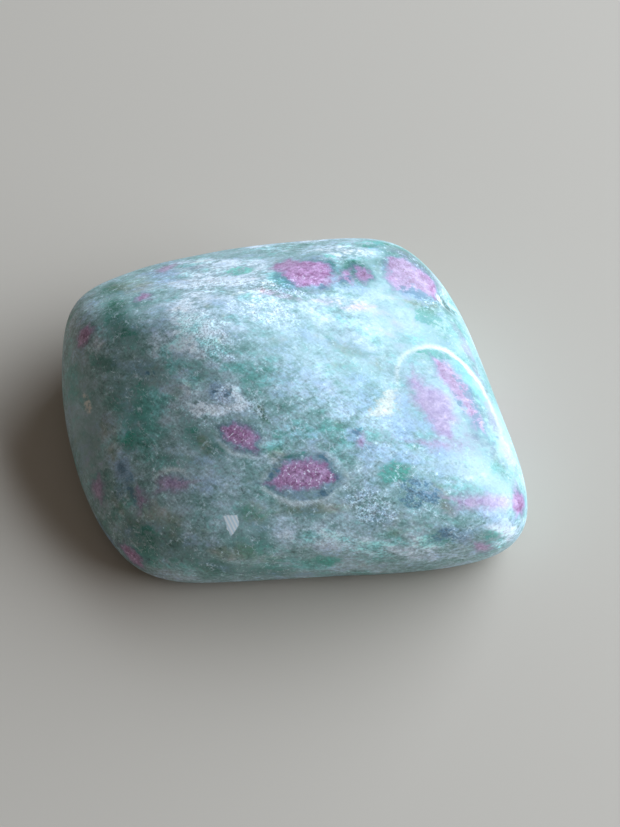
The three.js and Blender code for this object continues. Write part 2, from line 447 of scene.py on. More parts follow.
# Where it is grey blue.
BLUES = {
    "blue by the band": ((492, 488), -30, 2.2, 1, 0.6),
    "blue of the slate": ((428, 488), -40, 2, 1.3, 0.6),
    "blue round the pale ruby": ((424, 424), -60, 2, 1.2, 0.6),
    "blue under the pair halo": ((405, 455), -20, 2.8, 1.2, 0.5),
    "blue right of the large ring": ((372, 455), -10, 2.5, 1.2, 0.5),
    "blue of the corner": ((456, 536), -10, 2.4, 1.2, 0.6),
    "blue before the small ruby": ((282, 284), -20, 2, 1.2, 0.6),
    "blue of the upper left slope": ((168, 276), -14, 4, 1.5, 0.6),
    "blue under the back right ruby": ((410, 292), -30, 2.6, 1.2, 0.8),
    "blue left of the pair": ((403, 428), -50, 1.9, 1.4, 0.8),
    "blue in the halo": ((401, 402), -60, 2.2, 0.9, 0.6),
    "blue under the pair": ((430, 448), -20, 2, 1.2, 0.5),
    "blue by the blush": ((354, 436), -10, 1, 0.8, 0.6),
    "blue before the band": ((445, 480), -30, 2.4, 1, 0.4),
    "blue round the band": ((500, 520), -5, 2.8, 0.8, 0.5),
    "blue under the back rubies": ((335, 288), -5, 3.2, 0.85, 0.2),
    # Painted shade and painted floor reflection: a grey wash that dulls the lamp-lit right slope.
    "blue of the right slope": ((462, 345), -60, 4.1, 1.3, 0.35),
    "blue cluster": ((220, 392), -50, 1.8, 0.95, 0.7),
    "violet by the mauve streak": ((122, 480), 80, 2.7, 1.1, 0.7),
    "violet over the mauve spot": ((195, 462), -10, 1.6, 0.8, 0.3),
    "blue crown": ((330, 390), -25, 6.2, 3.2, 0.3),
    "blue low right": ((370, 510), -30, 3, 1.4, 0.3),
}

# Specks and lines of dark slate blue.
SLATES = {
    "dark foot of the strip": ((478, 419), -62, 1.3, 0.55, 0.8),
    "slate right of the strip": ((472, 399), -62, 1.6, 0.5, 0.8),
    "slate right of the large ruby": ((335, 478), -70, 1.0, 0.4, 0.5),
    "slate left of the large ruby": ((275, 470), 50, 1.0, 0.4, 0.5),
    "slate specks of the cluster": ((228, 392), 70, 0.85, 0.45, 0.55),
    "left slate speck of the cluster": ((213, 390), 70, 0.6, 0.45, 0.45),
    "slate under the back left ruby": ((326, 288), -5, 1, 0.45, 0.6),
    "slate under the back right ruby": ((412, 290), -20, 1.6, 0.6, 1),
    "slate line under the back right ruby": ((424, 296), -10, 1.4, 0.45, 0.7),
    "slate by the small ruby": ((345, 280), -40, 0.7, 0.8, 0.7),
    "slate corner": ((443, 537), -5, 1.5, 1.1, 0.8),
    "slate right of the corner": ((461, 539), -20, 0.95, 0.65, 0.4),
    "slate before the pair": ((421, 491), -25, 2.3, 1.3, 0.9),
    "lower part of the slate before the pair": ((409, 499), -30, 1.5, 0.9, 0.8),
    "upper tip of the slate before the pair": ((433, 484), -50, 0.6, 0.4, 0.7),
    "slate in the large ring": ((324, 493), 8, 1, 0.4, 0.7),
    "slate over the large ring": ((322, 456), -20, 1.6, 0.3, 0.5),
    "dark slate at the left": ((128, 481), -72, 2.6, 0.6, 0.6),
    "slate by the blush": ((357, 432), -30, 0.5, 0.45, 0.7),
    "slate right of the blush": ((372, 446), -50, 0.55, 0.4, 0.6),
    "slate edge of the strip": ((464, 391), -57, 2.4, 0.4, 0.7),
    "slate line left of the strip": ((458, 402), -60, 1.8, 0.25, 0.6),
    "slate speck in the mauve spot": ((180, 482), 10, 0.6, 0.3, 0.6),
    "slate at the back": ((194, 268), -4, 2, 0.65, 0.6),
    "slate dark shoulder speck": ((149, 374), -10, 0.75, 0.4, 0.7),
}

# Gritty ground, with bright and brown grains.
GRITS = {
    "grit of the upper edge": ((214, 284), 0, 4.4, 1.1, 0.8),
    "grit of the slate": ((418, 494), -25, 3, 1.8, 0.7),
    "grit of the cloud": ((205, 330), -50, 5.4, 2.4, 0.75),
    "grit over the crown": ((270, 287), -8, 3.7, 1.4, 1),
    "grit right of the cloud": ((265, 310), -12, 5.2, 2.5, 0.6),
    "grit at the front": ((370, 505), -35, 3, 1.8, 1),
    "grit right of the large ruby": ((354, 490), -10, 1, 0.4, 1),
    "grit under the white patch": ((255, 408), -40, 1.9, 0.8, 0.8),
    "grit of the cluster": ((226, 396), -50, 2.4, 1.6, 0.8),
    "grit at the right rim": ((432, 303), -8, 2.7, 0.75, 0.9),
    "grit round the mauve spot": ((170, 472), -5, 4.8, 2.3, 0.3),
    "grit of the low front": ((320, 535), -6, 5.1, 1.5, 0.3),
    "grit in the middle": ((195, 410), -20, 4.5, 1.8, 0.5),
    "grit by the slate corner": ((454, 536), -10, 1.3, 0.9, 0.9),
}

# Cream flecks.
CREAMS = {
    "cream patch": ((379, 413), 15, 1.2, 0.55, 0.5),
    "cream under the pair": ((449, 420), -60, 1, 0.7, 0.5),
    "cream fleck at the rim": ((442, 298), -60, 0.9, 0.8, 0.8),
    "cream at the left": ((86, 404), -70, 1.2, 0.7, 0.7),
    "cream over the crown": ((266, 283), -15, 1.5, 0.7, 0.5),
    "cream spot": ((273, 313), 0, 0.65, 0.65, 0.35),
    "cream back": ((345, 250), -3, 3.8, 0.95, 0.45),
}

# Where the mica is faintly rosy. The rows along the right outline are a painted reflection of the
# warm floor on that grazing edge, and painted shade on it.
BLUSHES_AND_RIM_REFLECTIONS = {
    "under the back left ruby": ((305, 291), 0, 1.6, 0.6, 0.5),
    "above the back right ruby": ((414, 260), -38, 1.6, 0.7, 0.6),
    "left of the pair's foot": ((387, 437), -20, 1.2, 0.9, 0.6),
    "behind the back right ruby": ((449, 301), -55, 1.6, 0.8, 0.6),
    "grey of the middle": ((170, 360), -20, 3, 1.5, 0.2),
    "blush by the cream fleck": ((446, 300), -50, 1.5, 1.0, 0.8),
    # Painted floor reflection and painted shade on the right outline.
    "inside of the right rim": ((496, 456), -66, 4, 1.2, 0.5),
    "over the left of the band": ((447, 509), -10, 1.6, 0.9, 0.6),
    "right of the pair": ((474, 442), -60, 2.2, 1.2, 0.5),
    # Painted floor reflection and painted shade on the right outline.
    "rim over the pair": ((488, 398), -64, 2.6, 0.7, 0.8),
    "under the back right ruby": ((403, 298), -30, 2.6, 1.4, 0.5),
    "blush of the low front": ((255, 560), -6, 9, 1.4, 0.3),
    "olive rim of the left": ((95, 470), -75, 9, 2.4, 0.35),
    "right of the knoll": ((388, 326), -60, 4, 2, 0.4),
    # These five rows: painted floor reflection and painted shade along the right outline.
    "rim of the back right": ((421, 266), -42, 4.4, 1.3, 1),
    "rim of the right": ((467, 350), -64, 4.5, 0.8, 1),
    "rim by the pair": ((491, 416), -66, 3.4, 0.9, 0.9),
    "rim under the pair": ((507, 450), -68, 3.5, 0.7, 0.9),
    "rim of the corner": ((521, 500), -75, 2.4, 0.8, 1),
    "line under the back left ruby": ((277, 294), -15, 2.6, 0.6, 1),
    "line under the small ruby": ((345, 304), -5, 4, 1.0, 0.6),
    "before the right of the pair": ((460, 421), -60, 1.2, 0.8, 0.5),
}

# Where the mottling is faint. On the brightly lit crown, back and right it is kept faint to stand
# in for highlights that wash the mottling out there.
CALMS = {
    "cloud": ((225, 315), -20, 7, 4, 0.6),
    "crown": ((330, 345), -20, 9, 6, 0.7),
    "back right": ((410, 320), -50, 9, 6, 1),
    "right": ((455, 400), -60, 11, 7, 1),
    "right slope": ((480, 460), -60, 8, 4, 0.8),
    "back slope": ((260, 262), -5, 13, 3, 0.5),
    "left flank": ((80, 420), -80, 8, 3.5, 1),
}

# Patches with straight edges, by the places of their corners in the camera's view.
CHIPS = {
    "white chip": ((222, 515), (237, 515), (238, 526), (231, 537)),
    "cream wedge": ((371, 414), (384, 395), (391, 390), (397, 404), (394, 415)),
}

# A chip's colour reaches this far into the rock.
CHIP_DEPTH = 1

# What spreads softly in the rock: the ovals that are seen, then the count of hidden ones,
# their longest half length and the range of their weights.
SPREADS = {
    "cloud": (CLOUDS, 12, 5, (0.3, 0.8)),
    "shade": (SHADES, 12, 4, (0.3, 0.7)),
    "emerald": (EMERALDS, 14, 2.4, (0.4, 1)),
    "teal": (TEALS, 12, 5, (0.3, 0.8)),
    "olive": (OLIVES, 12, 4.5, (0.3, 0.9)),
    "blue": (BLUES, 9, 4, (0.3, 0.8)),
    "slate": (SLATES, 12, 2, (0.4, 0.9)),
    "grit": (GRITS, 10, 5, (0.4, 1)),
    "cream": (CREAMS, 4, 1.4, (0.3, 0.9)),
    "calm": (CALMS, 5, 9, (0.3, 0.8)),
    "blush": (BLUSHES_AND_RIM_REFLECTIONS, 6, 3, (0.3, 0.8)),
}
HIDDEN_RUBIES = (16, 2.8, (0.05, 0.8))

# The hidden ovals are drawn from this seed. Their half lengths are shares of the longest,
# and their half widths are shares of those. They lie only where the skin's normal and the
# camera's look have a greater cosine than the last of these.
HIDDEN_SEED = 7
HIDDEN_LENGTHS = (0.35, 1)
HIDDEN_WIDTHS = (0.4, 0.75)
TURNED_AWAY = -0.1

# A lean is measured by a step of this many pixels along it.
LEAN_STEP = 2

# The outline of an oval has lobes, so many of each kind round it. They are this deep where
# its half width is 1 and deeper where it is slimmer, but never deeper than the last.
LOBES = np.array([2, 3, 5, 7])
LOBE_DEPTH = 0.07
DEEPEST_LOBE = 0.12

# An oval reaches this many times its longer half length into the rock.
OVAL_DEPTH = 1.5

# A spread is whole up to this reach, and is gone one reach further out.
WHOLE_UP_TO = 0.4

# A ring keeps this share of its whiteness on the side away from its whitest.
DULL_RING = 0.1

# Distances to an edge are kept within this, which is further than any of them is used.
FAR = 6

# Places in an offset along an oval's axes, and among a halo's further weights.
ALONG, ACROSS = 0, 1
GROUND, WHITEST_SIDE = 0, 1


class Oval:
    """An oval patch of the skin: its middle, its three axes, its half lengths and its weights."""

    def __init__(self, centre, ahead, along, across, weight, *more):
        normal = skin_normal(unit(centre - HEART))
        forward = unit(ahead - normal * (ahead @ normal))
        self.centre = centre
        self.axes = np.stack([forward, np.cross(normal, forward), normal])
        self.halves = np.array([along, across, OVAL_DEPTH * max(along, across)])
        self.lobe_turns = LOBES * centre.sum()
        self.lobe_depth = min(LOBE_DEPTH / across, DEEPEST_LOBE)
        self.weight = weight
        self.more = more

    def reach(self, points):
        """|(forward / a, sideways / b, depth / c)| (1 + lobe depth * sum of sin(n t + phase))."""
        offsets = (points - self.centre) @ self.axes.T / self.halves
        turn = np.arctan2(offsets[..., ACROSS], offsets[..., ALONG])
        lobes = np.sin(turn[..., None] * LOBES + self.lobe_turns).sum(axis=-1)
        return np.linalg.norm(offsets, axis=-1) * (1 + self.lobe_depth * lobes)

    def gap(self, points):
        """Distance to the edge, below 0 inside: k (k - 1) / |offset / half^2| for a reach of k."""
        offsets = (points - self.centre) @ self.axes.T
        reach = self.reach(points)
        slope = np.linalg.norm(offsets / self.halves**2, axis=-1)
        return reach * (reach - 1) / np.maximum(slope, 1e-6)


def seen_ovals(table):
    """The ovals of one of the tables above, each laid on the skin behind its place."""
    ovals = []
    for (column, row), lean, along, across, *weights in table.values():
        centre = seen_at(column, row)
        lean = math.radians(lean)
        step = (LEAN_STEP * math.cos(lean), LEAN_STEP * math.sin(lean))
        ahead = seen_at(column + step[0], row - step[1])
        ovals.append(Oval(centre, unit(ahead - centre), along, across, *weights))
    return ovals


def hidden_ovals(draws, count, longest, weights):
    """Ovals of the same kinds where the camera sees nothing, drawn at random from a seed."""
    ovals = []
    while len(ovals) < count:
        direction = unit(draws.normal(size=3))
        ahead = unit(draws.normal(size=3))
        along = longest * draws.uniform(*HIDDEN_LENGTHS)
        across = along * draws.uniform(*HIDDEN_WIDTHS)
        weight = draws.uniform(*weights)
        if skin_normal(direction) @ CAMERA_LOOK > TURNED_AWAY:
            centre = HEART + direction * skin_radius(direction)
            ovals.append(Oval(centre, ahead, along, across, weight))
    return ovals


def nearest_gap(ovals, points):
    """The smallest distance to any oval's edge, and the number of the oval that has it."""
    gaps = np.stack([oval.gap(points) for oval in ovals])
    return np.clip(gaps.min(axis=0), -FAR, FAR), gaps.argmin(axis=0)


def ring_whiteness(oval, points):
    """Weight times d + (1 - d) ((1 + cos t) / 2)^2, t the turn from the side that is whitest."""
    whitest_side = oval.more[WHITEST_SIDE]
    offsets = (points - oval.centre) @ oval.axes.T
    turn = np.arctan2(offsets[..., ACROSS], offsets[..., ALONG]) - math.radians(whitest_side)
    return oval.weight * (DULL_RING + (1 - DULL_RING) * ((1 + np.cos(turn)) / 2) ** 2)


def corner_gap(corners, points):
    """Distance to a patch's edge, below 0 inside: the largest of (p - corner) . outward."""
    corners = np.array([seen_at(*corner) for corner in corners])
    middle = corners.mean(axis=0)
    normal = skin_normal(unit(middle - HEART))
    outward = unit(np.cross(corners - np.roll(corners, -1, axis=0), normal))
    gaps = ((points[..., None, :] - corners) * outward).sum(axis=-1).max(axis=-1)
    depths = abs((points - middle) @ normal) - CHIP_DEPTH
    return np.clip(np.maximum(gaps, depths), -FAR, FAR)


def coverage(ovals, points):
    """The strongest of the ovals' covers: weight (1 - smoothstep) of the reach past the whole."""
    cover = np.zeros(points.shape[:-1])
    for oval in ovals:
        fade = np.clip(oval.reach(points) - WHOLE_UP_TO, 0, 1)
        cover = np.maximum(cover, oval.weight * (1 - fade * fade * (3 - 2 * fade)))
    return cover


def rock_fields(points):
    """The numbers that the finish reads at each vertex of the stone."""
    draws = np.random.default_rng(HIDDEN_SEED)
    rubies = seen_ovals(RUBIES) + hidden_ovals(draws, *HIDDEN_RUBIES)
    halos = seen_ovals(HALOS)
    ruby_gap, ruby = nearest_gap(rubies, points)
    halo_gap, halo = nearest_gap(halos, points)
    whiteness = np.stack([ring_whiteness(oval, points) for oval in halos])
    fields = {
        "ruby_gap": ruby_gap,
        "ruby_pale": np.array([oval.weight for oval in rubies])[ruby],
        "halo_gap": halo_gap,
        "halo_white": np.take_along_axis(whiteness, halo[None], axis=0)[0],
        "halo_pale": np.array([oval.more[GROUND] for oval in halos])[halo],
        "chip_gap": corner_gap(CHIPS["white chip"], points),
        "wedge_gap": corner_gap(CHIPS["cream wedge"], points),
    }
    for name, (table, count, longest, weights) in SPREADS.items():
        ovals = seen_ovals(table) + hidden_ovals(draws, count, longest, weights)
        fields[name] = coverage(ovals, points)
    return fields


def make_stone():
    """The cube's grids blown onto the skin, raised by the relief and ground flat at z = 0."""
    directions = cube_directions(SKIN_STEPS)
    smooth = HEART + directions * skin_radius(directions)[..., None]
    points = smooth + skin_normal(directions) * relief(smooth)[..., None]
    points[..., 2] = np.maximum(points[..., 2], 0)
    points = points.reshape(-1, 3)
    mesh = bpy.data.meshes.new("cabochon_stone")
    mesh.from_pydata((points * MM).tolist(), [], grid_quads(CUBE_SIDES, SKIN_STEPS).tolist())
    work = bmesh.new()
    work.from_mesh(mesh)
    bmesh.ops.remove_doubles(work, verts=work.verts, dist=WELD * MM)
    work.to_mesh(mesh)
    work.free()
    mesh.shade_smooth()
    welded = np.empty(3 * len(mesh.vertices))
    mesh.vertices.foreach_get("co", welded)
    for name, values in rock_fields(welded.reshape(-1, 3) / MM).items():
        mesh.attributes.new(name, "FLOAT", "POINT").data.foreach_set("value", values)
    stone = bpy.data.objects.new("cabochon_stone", mesh)
    bpy.context.collection.objects.link(stone)
    return stone


# ------------------------------------------------------------------ shader words


class Wire:
    """A shader socket that takes part in arithmetic: each operation adds one Math node."""

    def __init__(self, finish, socket):
        self.finish = finish
        self.socket = socket

    def __add__(self, other):
        return self.finish.math("ADD", self, other)

    def __sub__(self, other):
        return self.finish.math("SUBTRACT", self, other)

    def __rsub__(self, other):
        return self.finish.math("SUBTRACT", other, self)

    def __mul__(self, other):
        return self.finish.math("MULTIPLY", self, other)

    def __abs__(self):
        return self.finish.math("ABSOLUTE", self)

    __radd__ = __add__
    __rmul__ = __mul__


class Finish:
    """A material under construction, whose nodes are added by method calls."""

    def __init__(self, name):
        self.material = bpy.data.materials.new(name)
        self.material.use_nodes = True
        self.tree = self.material.node_tree
        self.tree.nodes.clear()

    def node(self, kind, settings, sockets, output=0):
        """Adds a node, makes its settings, then fills or links its sockets."""
        node = self.tree.nodes.new(kind)
        for name, value in settings.items():
            if name == "stops":
                self.set_stops(node.color_ramp, value)
            else:
                setattr(node, name, value)
        for name, value in sockets.items():
            if isinstance(value, Wire):
                self.tree.links.new(value.socket, node.inputs[name])
            else:
                node.inputs[name].default_value = value
        return Wire(self, node.outputs[output])

    def show(self, surface):
        """Ends the material: its surface goes to the output."""
        end = self.tree.nodes.new("ShaderNodeOutputMaterial")
        self.tree.links.new(surface.socket, end.inputs["Surface"])

    @staticmethod
    def set_stops(ramp, stops):
        """Gives a colour ramp its stops, each a position and a colour."""
        while len(ramp.elements) < len(stops):
            ramp.elements.new(0.5)
        for element, (position, colour) in zip(ramp.elements, stops):
            element.position = position
            element.color = colour

    def math(self, operation, a, b=0.0):
        """One Math node on values."""
        return self.node("ShaderNodeMath", {"operation": operation}, {0: a, 1: b})

    def smooth(self, value, low, high):
        """0 below low and 1 above high, with a smooth step between, or the other way round."""
        settings = {"interpolation_type": "SMOOTHSTEP"}
        return self.node("ShaderNodeMapRange", settings, {0: value, 1: low, 2: high})

    def mix(self, factor, a, b, blend="MIX"):
        """Colour a where the factor is 0 and b, or a blended with b, where it is 1."""
        settings = {"data_type": "RGBA", "blend_type": blend}
        return self.node("ShaderNodeMix", settings, {0: factor, 6: a, 7: b}, output=2)

    def vector(self, operation, a, b, output=0):
        """One Vector Math node."""
        return self.node("ShaderNodeVectorMath", {"operation": operation}, {0: a, 1: b}, output)

    def field(self, name):
        """One of the numbers that the mesh holds at each vertex."""
        return self.node("ShaderNodeAttribute", {"attribute_name": name}, {}, output="Fac")

    def frayed(self, name, noise, low=0.15, high=1.0):
        """How far a spread covers the ground, 0 to 1, broken up by a noise."""
        return self.smooth(self.field(name) * (1 + noise), low, high)

    def drawn_out(self, place, bearing, stretch):
        """A place whose noise is drawn out along a bearing."""
        return self.node(
            "ShaderNodeMapping",
            {"vector_type": "TEXTURE"},
            {
                "Vector": place,
                "Rotation": (0.0, 0.0, math.radians(bearing)),
                "Scale": (stretch, 1.0, 1.0),
            },
        )

    def noise(self, place, size, detail=2.0, roughness=0.5):
        """Soft noise about 0, seldom past 0.5 either way, with lumps of the given size."""
        sockets = {"Vector": place, "Scale": 1 / size, "Detail": detail, "Roughness": roughness}
        return self.node("ShaderNodeTexNoise", {}, sockets) * 2 - 1

    def lines(self, place, bearing, stretch, size, width):
        """Thin lines drawn out along a bearing, where a noise crosses 0."""
        crossing = self.noise(self.drawn_out(place, bearing, stretch), size, 1)
        return self.smooth(abs(crossing), width, 0.0)


def paint(red, green, blue):
    """A colour given as it looks on a screen, 0 to 255, as the linear colour a shader takes."""
    screen = np.array([red, green, blue]) / 255
    linear = np.where(screen <= 0.04045, screen / 12.92, ((screen + 0.055) / 1.055) ** 2.4)
    return (*linear.tolist(), 1.0)


# ------------------------------------------------------------------ the rock's finish

# The mica lies in leaves. Its fibres and needles cross them. Each has a bearing and is
# drawn out so many times along it.
LEAVES = (-14, 1.7)
FIBRES = (-38, 1.4)
NEEDLES = (-50, 3.2)
CROSS_NEEDLES = (25, 3.2)

# Noises, by the size of their lumps, their detail and how rough it is.
BROAD = (6, 3, 0.55)
MOTTLE = (1.2, 5, 0.68)
RAGGED = (0.9, 5, 0.75)
FIBRE = (0.42, 3, 0.7)
NEEDLE = (0.26, 1)
GRAIN = (0.2, 1)
SPARKLE = (0.19, 2, 0.6)
HUE = (2.6, 4, 0.6)
OTHER_HUE = (2.0, 4, 0.6)
RUBY_BODY = (0.8, 4, 0.65)
RUBY_PITS = (0.3, 2, 0.6)

# Thin lines: bearing, how drawn out they are, their spacing and their width.
HAIRS = (35, 3.5, 0.5, 0.09)
CROSS_HAIRS = (-65, 3.5, 0.6, 0.09)
CRACKS = (57, 2.4, 0.5, 0.1)

# The way across the white chip's cleavage, and the pace of its stripes along that way, in
# radians a millimetre.
CLEAVAGE = (0.94, 0.35, 0.0)
STRIPES_PACE = 19

# The mica's colours, from dark to nearly white, by its tone.
MICA_TONES = [
    (0.0, paint(36, 78, 70)),
    (0.25, paint(84, 130, 120)),
    (0.5, paint(146, 177, 177)),
    (0.75, paint(194, 211, 221)),
    (1.0, paint(242, 248, 255)),
]

# Colours that lie over the mica.
DARK_HALO = paint(80, 112, 128)
PALE_HALO = paint(176, 196, 204)
SHADED_HALO = paint(70, 116, 124)
COOL_RING = paint(200, 218, 230)
WARM_RING = paint(228, 224, 214)
GREY_BLUE = paint(152, 178, 208)
CREAM = paint(230, 224, 212)
BRIGHT_GRAIN = paint(226, 242, 252)
BROWN_GRAIN = paint(96, 80, 86)
PALE_HAIR = paint(214, 232, 238)
SLATE = paint(50, 98, 120)
CREAM_WEDGE = paint(222, 220, 210)
# The white chip's stripes. Their pure white is the chip's own white and also a painted glint.
DARK_STRIPE = paint(214, 232, 244)
WHITE_STRIPE_AND_GLINT = paint(255, 255, 255)

# Tints that a colour is multiplied by.
TEAL_TINT = (0.44, 0.96, 0.86, 1.0)
OLIVE_TINT = (1.0, 0.78, 0.64, 1.0)
EMERALD_TINT = (0.2, 0.66, 0.5, 1.0)
# The rosy tint is the mica's own blush, and along the right outline a painted floor reflection and
# painted shade.
ROSY_AND_RIM_REFLECTION_TINT = (1.02, 0.72, 0.78, 1.0)
SHADED_RUBY_TINT = (0.56, 0.52, 0.56, 1.0)

# Colours of the rubies.
RUBY_RIM = paint(80, 114, 132)
RUBY_EDGE = paint(176, 148, 186)
DARK_PLUM = paint(158, 102, 144)
BRIGHT_PLUM = paint(210, 166, 206)
DARK_LILAC = paint(158, 128, 168)
PALE_LILAC = paint(200, 172, 198)
RUBY_CRACK = paint(244, 234, 248)
RUBY_PIT = paint(76, 40, 66)


class Rock(Finish):
    """Green mica rock with rubies, their dark rims and pale halos, and a soft polish.

    Each method named with_ is given the colour so far, lays one layer over it and returns
    the new colour. The layers are laid in the order of these methods.
    """

    def __init__(self):
        """The noises and the frayed spreads that the layers share."""
        super().__init__("ruby_in_fuchsite")
        metres = self.node("ShaderNodeTexCoord", {}, {}, output="Object")
        place = self.vector("MULTIPLY", metres, (1 / MM, 1 / MM, 1 / MM))
        leaves = self.drawn_out(place, *LEAVES)
        self.place = place
        self.broad = self.noise(place, *BROAD)
        self.mottle = self.noise(leaves, *MOTTLE)
        self.fibre = self.noise(self.drawn_out(place, *FIBRES), *FIBRE)
        needles = self.noise(self.drawn_out(place, *NEEDLES), *NEEDLE)
        cross_needles = self.noise(self.drawn_out(place, *CROSS_NEEDLES), *NEEDLE)
        self.needles = needles + cross_needles
        self.grain = self.noise(place, *GRAIN)
        self.ragged = self.noise(place, *RAGGED)
        self.hue = self.noise(leaves, *HUE)
        self.speckle = self.mottle + self.fibre * 0.6 + self.needles * 0.25

        # How strong the mottling is, and where the ground is pale, dark or gritty. The pale and
        # dark spreads also carry the painted light, sheen and shade rows of their tables, and the
        # calm spread the faint mottling of the lit side.
        self.calm = self.field("calm")
        self.rough = 1.15 - self.calm * 0.75
        self.cloud = self.frayed("cloud", self.speckle * 1.2, 0.0)
        self.shade = self.frayed("shade", self.speckle * 2.0, 0.0)
        self.grit = self.frayed("grit", self.speckle * 2.0, 0.1)

        # Ragged distances to the edges of the halos and the rubies.
        self.halo_gap = self.field("halo_gap") + self.ragged * 0.5
        self.halo_pale = self.field("halo_pale")
        self.ruby_gap = self.field("ruby_gap") + self.ragged * 0.9 + self.fibre * 0.4
        self.ruby_pale = self.field("ruby_pale")
        pale = self.ruby_pale
        self.inside_ruby = self.smooth(self.ruby_gap, 0.3 + pale * 0.5, -0.25 - pale * 0.6)
        self.cracks = self.lines(place, *CRACKS) * self.smooth(self.needles, 0.0, 0.35)

    def mica(self):
        """The ground: a mottled tone, raised in the clouds and lowered in the shades."""
        tone = 0.54 + (self.broad * 0.32 + self.mottle * 0.42) * self.rough
        tone = tone + self.cloud * 0.42 - self.shade * 0.42
        return self.node("ShaderNodeValToRGB", {"stops": MICA_TONES}, {"Fac": tone})

    def with_halos(self, colour):
        """The blue-grey ground of the halos."""
        ground = self.mix(self.halo_pale, DARK_HALO, PALE_HALO)
        ground = self.mix(self.shade * 0.8, ground, SHADED_HALO)
        inside = self.smooth(self.halo_gap, 0.2, -0.6)
        return self.mix(inside * (0.62 + self.speckle * 1.5), colour, ground)

    def with_tints(self, colour):
        """Tints of the ground, each where its spread and a noise agree."""
        other_hue = self.noise(self.place, *OTHER_HUE)
        teal = self.smooth(self.field("teal") + self.hue * 1.3 + self.fibre * 0.4, 0.0, 0.8)
        colour = self.mix(teal * 0.85, colour, TEAL_TINT, "MULTIPLY")
        olive = self.smooth(self.field("olive") + other_hue * 1.2 + self.fibre * 0.4, 0.1, 0.85)
        colour = self.mix(olive * 0.85, colour, OLIVE_TINT, "MULTIPLY")
        blue = self.smooth(self.field("blue") - self.hue * 1.2 + self.speckle * 0.7, 0.0, 0.85)
        colour = self.mix(blue * 0.65, colour, GREY_BLUE)
        emerald = self.frayed("emerald", self.speckle * 2.5 + self.ragged, 0.1, 0.8)
        colour = self.mix(emerald * 0.85, colour, EMERALD_TINT, "MULTIPLY")
        # Rosy: the mica's blush, and on the right outline painted reflection and painted shade.
        rosy = self.frayed("blush", self.speckle * 1.5)
        colour = self.mix(rosy, colour, ROSY_AND_RIM_REFLECTION_TINT, "MULTIPLY")
        cream = self.frayed("cream", self.speckle * 3.0 + self.ragged)
        return self.mix(cream * 0.85, colour, CREAM)

    def with_rings(self, colour):
        """The pale broken rings of the halos."""
        whiteness = self.field("halo_white")
        ring = self.smooth(self.halo_gap, 0.5, 0.0) * self.smooth(self.halo_gap, -0.42, 0.02)
        broken = self.smooth(self.speckle + whiteness, -0.2, 0.5)
        white = self.mix(self.halo_pale, COOL_RING, WARM_RING)
        return self.mix(ring * whiteness * broken, colour, white)

    def with_grains(self, colour):
        """Bright grains, pale hairs and, in the grit, brown grains."""
        sparkle = self.noise(self.place, *SPARKLE)
        bright = sparkle * self.rough + self.needles * 0.3 + self.grit * 0.3
        colour = self.mix(self.smooth(bright, 0.45, 0.7) * 0.8, colour, BRIGHT_GRAIN)
        hairs = self.lines(self.place, *HAIRS) + self.lines(self.place, *CROSS_HAIRS)
        torn = self.smooth(self.ragged + self.grit * 0.2, -0.05, 0.3)
        colour = self.mix(hairs * self.rough * torn * 0.55, colour, PALE_HAIR)
        brown = self.smooth(self.grit * 0.3 - sparkle, 0.4, 0.65)
        return self.mix(brown * 0.6, colour, BROWN_GRAIN)

    def ruby(self):
        """A ruby's colour: plum, mauve at the edge, lilac where pale, cracked and pitted, and
        darker under the shade spread, which at the magenta end is painted shade.
        """
        pale = self.ruby_pale
        body = self.noise(self.place, *RUBY_BODY)
        plum = self.mix(self.smooth(body, -0.45, 0.45), DARK_PLUM, BRIGHT_PLUM)
        plum = self.mix(self.smooth(self.ruby_gap + body * 0.5, -0.6, 0.15), plum, RUBY_EDGE)
        lilac = self.mix(self.smooth(body, -0.5, 0.5), DARK_LILAC, PALE_LILAC)
        colour = self.mix(self.smooth(pale + body * 0.4, 0.1, 0.7), plum, lilac)
        cracked = self.cracks * self.smooth(pale, 0.4, 0.2) * self.smooth(self.calm, 0.6, 0.1)
        colour = self.mix(cracked, colour, RUBY_CRACK)
        pits = self.smooth(self.noise(self.place, *RUBY_PITS), 0.22, 0.42)
        colour = self.mix(pits * self.smooth(pale, 0.7, 0.1) * 0.6, colour, RUBY_PIT)
        return self.mix(self.shade * 0.95, colour, SHADED_RUBY_TINT, "MULTIPLY")

    def with_rubies(self, colour):
        """The rubies, each in a dark ragged rim."""
        rim = self.smooth(self.ruby_gap, 0.9, 0.1) * self.smooth(self.hue, -0.3, 0.2)
        colour = self.mix(rim * (0.65 - self.ruby_pale * 0.6), colour, RUBY_RIM)
        return self.mix(self.inside_ruby * (1 - self.ruby_pale * 0.15), colour, self.ruby())

    def with_slate(self, colour):
        """Slate specks, over rubies and mica alike."""
        slate = self.frayed("slate", self.speckle * 5.0 + self.ragged * 2.0)
        return self.mix(slate * 0.7, colour, SLATE)

    def with_wedge(self, colour):
        """The cream wedge beside the pair of rubies, with torn edges."""
        gap = self.field("wedge_gap") + self.ragged * 1.3 + self.speckle * 1.5
        return self.mix(self.smooth(gap, 0.35, -0.4) * 0.8, colour, CREAM_WEDGE)

    def with_felt(self, colour):
        """A fine felt of needles and grains, which is brighter or darker but no other colour."""
        felt = (self.fibre * 0.64 + self.needles * 0.26 + self.grain * 0.26) * self.rough
        felt = felt + self.grit * self.grain * 0.6
        return self.mix(1.0, colour, felt + 1, "MULTIPLY")

